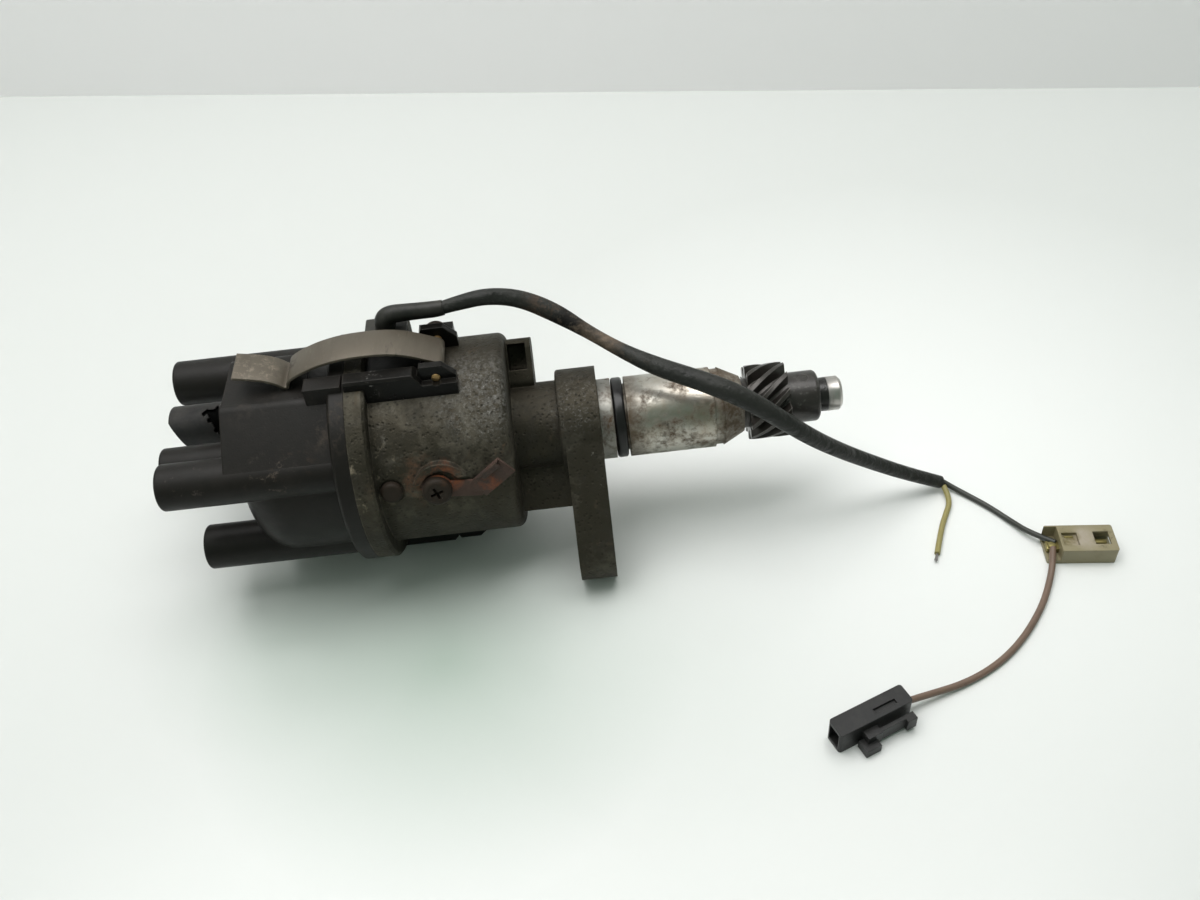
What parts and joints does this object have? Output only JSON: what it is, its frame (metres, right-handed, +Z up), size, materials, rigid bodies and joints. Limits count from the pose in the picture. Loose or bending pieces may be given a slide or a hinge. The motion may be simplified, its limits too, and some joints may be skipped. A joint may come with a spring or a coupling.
{
  "type": "ignition distributor",
  "caption": "Ignition distributor with a moulded cap, spring clips, cast body, timing arm, spigot, helical drive gear and a sleeved signal lead.",
  "frame": {"origin": "centre of the spigot at the flange's seating face", "axes": "+X along the shaft towards the drive gear, +Z up as the part lies on its side"},
  "size_m": [0.3296, 0.1545, 0.0937],
  "materials": {
    "cast": "weathered die casting, dull brown-grey with pale specks",
    "bronze": "sintered, oiled",
    "seal_rubber": "matt black",
    "steel": "ground, oily",
    "gear_steel": "dark, coated in old oil",
    "plated": "old yellow zinc plate",
    "screw": "worn zinc",
    "clip_steel": "tarnished spring steel",
    "rusty": "rusted red-brown",
    "spring_steel": "bright wire",
    "cap_plastic": "moulded dark brown, dusty",
    "rotor_plastic": "moulded",
    "module_plastic": "moulded black",
    "coil": "varnished",
    "terminal_brass": "oxidised",
    "carbon": "pressed carbon",
    "boot_rubber": "torn, matt",
    "elbow_rubber": "matt",
    "sleeve_pvc": "soft, dull",
    "wire_black": "soft",
    "wire_brown": "soft, grimy",
    "wire_yellow": "soft, yellow-green, grimy",
    "nylon": "aged natural nylon",
    "plug_black": "moulded black"
  },
  "bodies": {
    "housing": {"housing": "cast", "upper_bush": "bronze", "lower_bush": "bronze", "oil_seal": "seal_rubber", "thrust_shim": "steel", "spigot_o_ring": "seal_rubber", "cap_seal": "seal_rubber", "pickup_plate": "plated", "pickup_pole": "plated", "pickup_coil": "coil", "igniter_module": "module_plastic", "igniter_screws": "screw", "side_screws": "screw", "earth_screw": "screw", "earth_terminal": "rusty", "clip_bracket_upper": "plated", "clip_bracket_lower": "plated", "bracket_screws": "screw", "clip_pin_upper": "screw", "clip_pin_lower": "screw", "cap": "cap_plastic", "side_terminals": "terminal_brass", "centre_terminal": "terminal_brass", "brush_spring": "spring_steel", "lead_boot_stub": "boot_rubber", "lead_elbow": "elbow_rubber", "lead_sleeve": "sleeve_pvc", "wire_black": "wire_black", "wire_brown": "wire_brown", "wire_yellow": "wire_yellow", "white_plug": "nylon", "black_plug": "plug_black"},
    "drive_shaft": {"shaft": "steel", "drive_gear": "gear_steel", "gear_pin": "steel", "thrust_washer": "steel", "governor_plate": "plated", "weight_pivot_pins": "steel", "sleeve_screw": "steel"},
    "rotor_sleeve": {"cam_sleeve": "steel", "reluctor": "plated", "rotor_arm": "rotor_plastic", "rotor_contact": "terminal_brass", "governor_spring_a": "spring_steel", "governor_spring_b": "spring_steel"},
    "weight_a": {"governor_weight_a": "plated"},
    "weight_b": {"governor_weight_b": "plated"},
    "clip_upper": {"clip_upper": "clip_steel"},
    "clip_lower": {"clip_lower": "clip_steel"},
    "brush": {"carbon_brush": "carbon"}
  },
  "joints": [
    {"name": "shaft_spin", "type": "hinge", "parent": "housing", "child": "drive_shaft", "pos_m": [0, 0, 0], "axis": [1, 0, 0], "continuous": true},
    {"name": "advance", "type": "hinge", "parent": "drive_shaft", "child": "rotor_sleeve", "pos_m": [-0.066, 0, 0], "axis": [1, 0, 0], "range_deg": [0, 12], "stiffness_Nm_per_rad": 0.05, "springref_deg": -5.73, "deforming": ["governor_spring_a", "governor_spring_b"]},
    {"name": "weight_a_swing", "type": "hinge", "parent": "drive_shaft", "child": "weight_a", "pos_m": [-0.045, 0.018, 0], "axis": [1, 0, 0], "range_deg": [-12, 0]},
    {"name": "weight_b_swing", "type": "hinge", "parent": "drive_shaft", "child": "weight_b", "pos_m": [-0.045, -0.018, 0], "axis": [1, 0, 0], "range_deg": [-12, 0]},
    {"name": "clip_upper_swing", "type": "hinge", "parent": "housing", "child": "clip_upper", "pos_m": [-0.0507, 0, 0.0368], "axis": [0, 1, 0], "range_deg": [0, 110]},
    {"name": "clip_lower_swing", "type": "hinge", "parent": "housing", "child": "clip_lower", "pos_m": [-0.0507, 0, -0.0368], "axis": [0, -1, 0], "range_deg": [0, 110]},
    {"name": "brush_slide", "type": "slide", "parent": "housing", "child": "brush", "axis": [1, 0, 0], "range_m": [-0.002, 0], "stiffness_N_per_m": 40, "springref_m": 0.003, "deforming": ["brush_spring"]}
  ],
  "couplings": [
    {"joint": "weight_a_swing", "follows": "advance", "ratio": -1},
    {"joint": "weight_b_swing", "follows": "advance", "ratio": -1}
  ]
}
